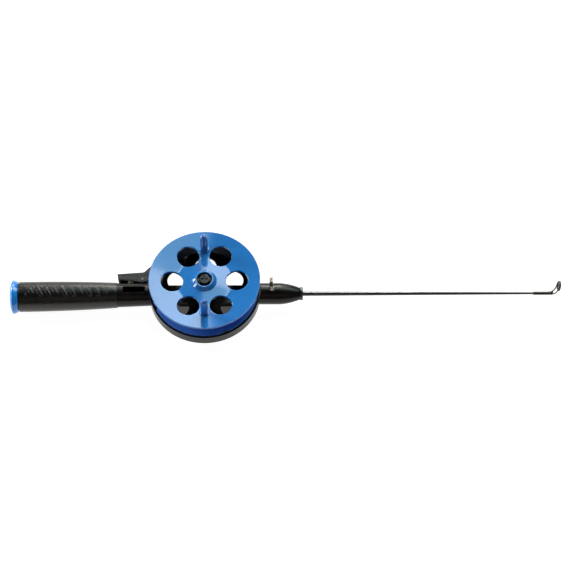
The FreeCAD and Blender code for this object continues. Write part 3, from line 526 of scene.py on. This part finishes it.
tube_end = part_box("tip_guide_tube")[1].x
tip_ring = (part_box("tip_guide_ring")[0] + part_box("tip_guide_ring")[1]) / 2
leg_radius = 0.00055
leg_sheets = []
for side in (-1, 1):
    # Each leg leaves the solder along the tube, bends up and spreads to its side of the ring.
    leg_path = eased_path(
        [
            (tube_end - 0.0016, side * 0.0007, axis_height + 0.0006),
            (tube_end + 0.0008, side * 0.0010, axis_height + 0.0006),
            (tube_end + 0.0030, side * 0.0018, axis_height + 0.0026),
            (tube_end + 0.0045, side * 0.0026, axis_height + 0.0065),
            (tip_ring.x - 0.0009, side * 0.0032, tip_ring.z - 0.0012),
            (tip_ring.x - 0.0006, side * 0.0031, tip_ring.z + 0.0010),
        ],
        60,
    )
    leg_sheets.append(wire(leg_path, leg_radius, (0, 1, 0)))
tip_legs = skin("tip_leg_wires", leg_sheets)
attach(tip_legs, "frame")
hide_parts("tip_guide_legs")
tip_legs.data.materials.append(gunmetal)


# Nose eye: stainless wire wound twice round a mandrel, both ends bent down and pressed into the
# nose, so the line runs through the open coil.

eye_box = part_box("nose_guide_eye")
eye_x = (eye_box[0].x + eye_box[1].x) / 2
eye_coil = 0.0052
eye_wire = 0.00055
eye_spread = 0.00135
eye_bend = 0.0012
eye_leg_foot = 0.0135
eye_low = eye_box[1].z - 2 * eye_coil - eye_wire

leg_down = np.linspace(0.0, 1.0, 14)[:, None]
quarter = np.linspace(0.0, np.pi / 2, 12)[:, None]
turn = np.linspace(0.0, 4 * np.pi, 150)[:, None]
leg_start = np.array((eye_x - eye_spread, -eye_bend, eye_leg_foot))
bend_start = np.array((eye_x - eye_spread, -eye_bend, eye_low - eye_bend))
rising = leg_start + (bend_start - leg_start) * leg_down
first_bend = np.concatenate(
    [
        0 * quarter + eye_x - eye_spread,
        -eye_bend * np.cos(quarter),
        eye_low - eye_bend + eye_bend * np.sin(quarter),
    ],
    axis=1,
)
coil_path = np.concatenate(
    [
        eye_x + eye_spread * (turn / (2 * np.pi) - 1),
        eye_coil * np.sin(turn),
        eye_low + eye_coil * (1 - np.cos(turn)),
    ],
    axis=1,
)
second_bend = first_bend[::-1] * (1, -1, 1) + (2 * eye_spread, 0, 0)
falling = rising[::-1] * (1, -1, 1) + (2 * eye_spread, 0, 0)
eye_path = np.concatenate([rising, first_bend[1:], coil_path[1:], second_bend[1:], falling[1:]])
nose_eye = skin("nose_eye_wire", [wire(eye_path, eye_wire, (1, 0, 0))])
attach(nose_eye, "frame")
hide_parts("nose_guide_eye")
stainless = worn_metal("stainless_wire", (0.27, 0.22, 0.16), (0.40, 0.33, 0.24), (0.12, 0.20))
nose_eye.data.materials.append(stainless)


# Spool: a glossy blue moulding, open at the back. Its dished face has six round holes and a
# raised hub with a recess for the screw, and its rear flange has four notches for the lever.

face_rim = 0.0328
rim_radius = 0.0449
valley_radius = 0.0225
valley_height = 0.0298
hub_height = 0.0306
hub_base = 0.0100
cone_top = 0.0335
cone_radius = 0.00735
recess_radius = 0.00635
recess_floor = 0.0302
bore_radius = 0.00508
crease_ease = 0.00010
rim_ease = 0.00045
flange_ease = 0.0006
drum_ease = 0.0008
rear_ease = 0.0004
edge_ease = 0.0003
rim_fall = 0.00002
face_slack = 0.0001
wall_slack = 0.00001
web = 0.0019
face_edge = 0.0440
drum_radius = 0.0370
drum_inside = 0.0355
groove_back = 0.0175
groove_front = 0.0309
rear_radius = 0.0430
rear_back = 0.0157
hole_radius = 0.0090
hole_pitch = 0.0262
hole_ease = 0.00035
hub_back = 0.0137
back_hub_radius = 0.0076
notch_radius = 0.0022
notch_centre = 0.0434
notch_first = np.radians(112.0)
spool_turn = np.radians(1.0)


def face_height(radius):
    """Height of the dished face: the higher of an outer and an inner cone, with the crease
    between them eased."""
    outer = valley_height + (face_rim - valley_height) * (radius - valley_radius) / (
        rim_radius - valley_radius
    )
    inner = valley_height + (hub_height - valley_height) * (valley_radius - radius) / (
        valley_radius - hub_base
    )
    return 0.5 * (outer + inner + np.sqrt((outer - inner) ** 2 + crease_ease**2))


def on_spool(radius, height, angles):
    """Points at a radius, a height and angles about the spool's axis."""
    height = height + 0.0 * angles
    return np.stack([radius * np.cos(angles), radius * np.sin(angles), height], axis=-1)


# Angles round the spool: even steps, with finer ones across each notch of the rear flange.
even = np.arange(0, 288) * np.radians(1.25) - np.radians(30.0)
fine = np.radians(np.linspace(-3.6, 3.6, 17))
near_notch = (notch_first + np.radians(90.0) * np.arange(4)[:, None] + fine).ravel()
near_notch = (near_notch + np.radians(30.0)) % (2 * np.pi) - np.radians(30.0)
rim_angles = np.unique(np.round(np.concatenate([even, near_notch]), 9))
gap_after = np.diff(np.append(rim_angles, rim_angles[0] + 2 * np.pi))
on_step = np.isin(rim_angles, np.round(even, 9))
rim_angles = rim_angles[(gap_after > np.radians(0.05)) | on_step]
hub_angles = np.arange(0, 96) * np.radians(3.75) - np.radians(30.0)


def sector_edge(centre, outer, inner):
    """The closed edge of one sixth of a ring: its outer arc, one side, its inner arc and the
    other side, at the same angles and radii as its neighbours."""
    half = np.radians(30.0)
    low = centre - half - 1e-7
    high = centre + half + 1e-7
    outer_turn = rim_angles[(rim_angles > low) & (rim_angles < high - 2e-7)]
    inner_turn = hub_angles[(hub_angles > low + 2e-7) & (hub_angles < high)][::-1]
    if len(inner_turn) == 0 or abs(inner_turn[0] - (high - 1e-7)) > 1e-6:
        inner_turn = np.insert(inner_turn, 0, centre + half)
    down = np.linspace(outer, inner, 23)
    radius = np.concatenate(
        [0 * outer_turn + outer, down[:-1], 0 * inner_turn + inner, down[::-1][:-1]]
    )
    turn = np.concatenate(
        [outer_turn, 0 * down[:-1] + centre + half, inner_turn, 0 * down[:-1] + centre - half]
    )
    return radius[:, None] * np.stack([np.cos(turn), np.sin(turn)], axis=-1)


def holed_sector(centre):
    """One sixth of the spool's web, from its front edge in to the hole's eased lip, through the
    hole and out to its back edge. Each row of points is a blend of an edge and the hole."""
    middle = hole_pitch * np.array((np.cos(centre), np.sin(centre)))
    front_edge = sector_edge(centre, face_edge, hub_base)
    back_edge = sector_edge(centre, drum_inside, back_hub_radius)
    heading = front_edge - middle
    heading /= np.linalg.norm(heading, axis=1)[:, None]
    lip = middle + heading * (hole_radius + hole_ease)
    rows = []
    for t in np.linspace(0, 1, 15):
        flat = front_edge * (1 - t) + lip * t
        rows.append((flat, face_height(np.linalg.norm(flat, axis=1))))
    lip_height = rows[-1][1]
    for t in np.linspace(0, np.pi / 2, 6)[1:]:
        flat = middle + heading * (hole_radius + hole_ease * (1 - np.sin(t)))
        rows.append((flat, lip_height - hole_ease * (1 - np.cos(t))))
    wall = middle + heading * hole_radius
    back_heading = back_edge - middle
    back_heading /= np.linalg.norm(back_heading, axis=1)[:, None]
    back_lip = middle + back_heading * hole_radius
    for t in np.linspace(0, 1, 5)[1:]:
        flat = wall * (1 - t) + back_lip * t
        from_middle = np.linalg.norm(flat - middle, axis=1)[:, None]
        flat = middle + (flat - middle) * hole_radius / from_middle
        height = face_height(np.linalg.norm(flat, axis=1)) - web
        rows.append((flat, (lip_height - hole_ease) * (1 - t) + height * t))
    for t in np.linspace(0, 1, 9)[1:]:
        flat = back_lip * (1 - t) + back_edge * t
        rows.append((flat, face_height(np.linalg.norm(flat, axis=1)) - web))
    return np.stack([np.column_stack(row) for row in rows])


sectors = [holed_sector(np.radians(60.0) * i) for i in range(6)]

rim_outline = soften(
    [
        (face_edge, face_height(face_edge), 0),
        (rim_radius, face_rim - rim_fall, rim_ease),
        (rim_radius, groove_front, flange_ease),
        (drum_radius, face_height(drum_radius) - web, drum_ease),
        (drum_radius, groove_back, drum_ease),
        (rear_radius, groove_back, rear_ease),
        (rear_radius, rear_back, rear_ease),
        (drum_inside, rear_back, edge_ease),
        (drum_inside, face_height(drum_inside) - web, 0),
    ],
    steps=9,
)
from_notch = (rim_angles - notch_first + np.pi / 4) % (np.pi / 2) - np.pi / 4
notch_side = notch_centre * np.sin(from_notch)
in_notch = np.abs(notch_side) < notch_radius
notch_depth = np.sqrt(np.clip(notch_radius**2 - notch_side**2, 0, None))
notch_wall = np.where(in_notch, notch_centre * np.cos(from_notch) - notch_depth, 1.0)

# Each row of the rim goes no further out than a notch's round wall, where it is in one.
rim_rows = []
for radius, height in rim_outline:
    reach = np.minimum(radius, notch_wall) if height < groove_back + face_slack else radius
    rim_rows.append(on_spool(reach, height, rim_angles))
hub_outline = soften(
    [
        (hub_base, face_height(hub_base), 0),
        (cone_radius, cone_top, rear_ease),
        (recess_radius, cone_top, edge_ease),
        (recess_radius, recess_floor, edge_ease),
        (bore_radius, recess_floor, 0),
        (bore_radius, hub_back, 0),
        (back_hub_radius, hub_back, edge_ease),
        (back_hub_radius, face_height(back_hub_radius) - web, 0),
    ]
)
hub_rows = [on_spool(radius, height, hub_angles) for radius, height in hub_outline]
turned = np.array(Matrix.Rotation(spool_turn, 3, "Z")).T
spool_sheets = [sheet @ turned for sheet in sectors + [np.stack(rim_rows), np.stack(hub_rows)]]
spool = skin("spool_moulding", spool_sheets, sharp=28.0)
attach(spool, "spool")
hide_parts("spool")
spool_blue = moulded(
    "spool_blue",
    dark=(0.021, 0.175, 0.505),
    light=(0.025, 0.195, 0.550),
    rough=(0.09, 0.15),
    grain_size=0.0016,
    grain_depth=0.000003,
    coat=0.35,
    edge=0,
)
spool.data.materials.append(spool_blue)
# Painted shade: a near-black blue for the inside of the drum and the space round the hub.
spool_inside_painted_shade = moulded(
    "spool_inside_painted_shade",
    dark=(0.002, 0.006, 0.022),
    light=(0.004, 0.010, 0.034),
    rough=(0.60, 0.75),
    grain_size=0.0006,
    grain_depth=0.00002,
    edge=0,
)
inside_shader = spool_inside_painted_shade.node_tree.nodes["Principled BSDF"]
inside_shader.inputs["Specular IOR Level"].default_value = 0.2
spool.data.materials.append(spool_inside_painted_shade)

# The space inside the drum and round the hub is dull from the mould, and painted shade darkens it
# to a near-black blue.
# The line groove and the rim's side are painted a more violet blue as the tint of their shade, and
# are less polished than the face.
hub_wall_middle = 0.0062
middles = np.zeros(3 * len(spool.data.polygons))
spool.data.polygons.foreach_get("center", middles)
middles = middles.reshape(-1, 3)
from_axis = np.hypot(middles[:, 0], middles[:, 1])
behind_web = middles[:, 2] < face_height(from_axis) - web + face_slack
is_inside = behind_web & (from_axis < drum_inside + wall_slack) & (from_axis > hub_wall_middle)
# Painted shade: a more violet blue for the line groove and the rim's side, the tint their shade
# has.
groove_painted_shade = moulded(
    "groove_painted_shade",
    dark=(0.052, 0.165, 0.510),
    light=(0.060, 0.185, 0.550),
    rough=(0.16, 0.26),
    grain_size=0.0012,
    grain_depth=0.000004,
    edge=0,
)
groove_shader = groove_painted_shade.node_tree.nodes["Principled BSDF"]
groove_shader.inputs["Specular IOR Level"].default_value = 0.25
spool.data.materials.append(groove_painted_shade)
in_groove = (middles[:, 2] < groove_front + wall_slack) | (from_axis > rim_radius - edge_ease)
in_groove &= (from_axis > drum_inside + wall_slack) & ~is_inside
# Material 1 is the inside's painted shade, material 2 the groove's painted shade tint.
finish = np.where(is_inside, 1, np.where(in_groove, 2, 0))
spool.data.polygons.foreach_set("material_index", finish.astype(np.int32))


# Spindle: a steel sleeve clamped to the frame's hub by a black pan-head screw and washer, with a
# brass insert in the hub, an acetal bush pressed in the spool and a thrust washer behind it.

black_oxide = worn_metal("black_oxide", (0.014, 0.013, 0.013), (0.032, 0.030, 0.029), (0.12, 0.22))
paint_node("spool_screw", black_oxide)
paint_node("screw_washer", black_oxide)
ground_steel = worn_metal("ground_steel", (0.50, 0.50, 0.50), (0.62, 0.62, 0.62), (0.20, 0.30))
paint_node("spindle_sleeve", ground_steel)
turned_brass = worn_metal("turned_brass", (0.62, 0.42, 0.16), (0.76, 0.55, 0.25), (0.22, 0.34))
paint_node("threaded_insert", turned_brass)
acetal = moulded(
    "acetal",
    dark=(0.70, 0.70, 0.67),
    light=(0.78, 0.78, 0.76),
    rough=(0.35, 0.45),
    grain_size=0.0008,
    grain_depth=0.00001,
)
paint_node("spool_bush", acetal)
paint_node("thrust_washer", acetal)


# Finger knobs: two hollow blue knobs with round tips. Each turns on a riveted steel pin and
# stands on a low ring bedded on the spool's face.

knob_wall = 0.0013
knob_draft = 0.00004
knob_ease = 0.0003
knob_bore_ease = 0.0001
knob_blue = moulded(
    "knob_blue",
    dark=(0.026, 0.115, 0.420),
    light=(0.032, 0.135, 0.460),
    rough=(0.08, 0.13),
    grain_size=0.0014,
    grain_depth=0.000003,
    coat=0.4,
    edge=0,
)
collar_blue = moulded(
    "collar_blue",
    dark=(0.013, 0.155, 0.440),
    light=(0.016, 0.175, 0.480),
    rough=(0.12, 0.20),
    grain_size=0.0014,
    grain_depth=0.000003,
    coat=0.35,
)
paint_node("knob_collars", collar_blue)
knob_angles = around(64)
for node in ("knob_upper", "knob_lower"):
    low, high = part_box(node)
    middle = (low + high) / 2
    knob_radius = (high.x - low.x) / 2
    bore = knob_radius - knob_wall
    dome_base = high.z - knob_radius
    tip = np.linspace(0, np.pi / 2, 14)
    outline = np.concatenate(
        [
            np.column_stack([knob_radius * np.sin(tip), dome_base + knob_radius * np.cos(tip)]),
            soften(
                [
                    (knob_radius, dome_base, 0),
                    (knob_radius + knob_draft, low.z, knob_ease),
                    (bore, low.z, knob_bore_ease),
                    (bore, dome_base, 0),
                    (0.0, dome_base, 0),
                ]
            )[1:],
        ]
    )
    rows = [on_spool(radius, height, knob_angles) for radius, height in outline]
    knob = skin(node + "_shell", [np.stack(rows) + (middle.x, middle.y, 0.0)], sharp=45.0)
    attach(knob, node)
    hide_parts(node)
    knob.data.materials.append(knob_blue)
    paint_node(node + "_pin", ground_steel)


# Thumb lever: grained black nylon, hung on a steel pin through the neck's ear. A plated coil
# spring under its pad lifts it, so that its tooth falls into a notch of the spool.

lever_grain = moulded(
    "lever_grain",
    dark=(0.004, 0.0035, 0.003),
    light=(0.042, 0.037, 0.033),
    rough=(0.40, 0.62),
    grain_size=0.0009,
    grain_depth=0.00030,
    edge=0.0003,
)
lever_nodes = lever_grain.node_tree.nodes
lever_nodes["Noise Texture"].inputs["Scale"].default_value = 700.0
lever_ramp = lever_nodes["Color Ramp"].color_ramp
lever_ramp.elements[0].position = 0.42
lever_ramp.elements[1].position = 0.62
lever_nodes["Principled BSDF"].inputs["Specular IOR Level"].default_value = 0.35
paint_node("thumb_lever", lever_grain)
pin_steel = worn_metal("pin_steel", (0.09, 0.085, 0.08), (0.16, 0.15, 0.14), (0.22, 0.34))
paint_node("lever_pin", pin_steel)

spring_low, spring_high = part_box("lever_spring")
spring_middle = (spring_low + spring_high) / 2
spring_wire = 0.00027
spring_coil = (spring_high.x - spring_low.x) / 2 - spring_wire
spring_turns = 5.5
closed_share = 0.10
spring_turn = np.linspace(0, 2 * np.pi * spring_turns, 300)[:, None]
spring_run = spring_turn / spring_turn[-1]
squeeze = np.clip((spring_run - closed_share) / (1 - 2 * closed_share), 0, 1)
spring_rise = spring_high.y - spring_low.y - 4 * spring_wire
spring_path = np.concatenate(
    [
        spring_middle.x + spring_coil * np.cos(spring_turn),
        spring_low.y + spring_wire + spring_wire * spring_run * 2 + spring_rise * squeeze,
        spring_middle.z - spring_coil * np.sin(spring_turn),
    ],
    axis=1,
)
spring = skin("spring_coil", [wire(spring_path, spring_wire, (0, 1, 0), columns=14)])
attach(spring, "frame")
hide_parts("lever_spring")
spring_plate = worn_metal("spring_plate", (0.82, 0.73, 0.52), (0.95, 0.87, 0.68), (0.32, 0.46))
spring.data.materials.append(spring_plate)
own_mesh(spring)
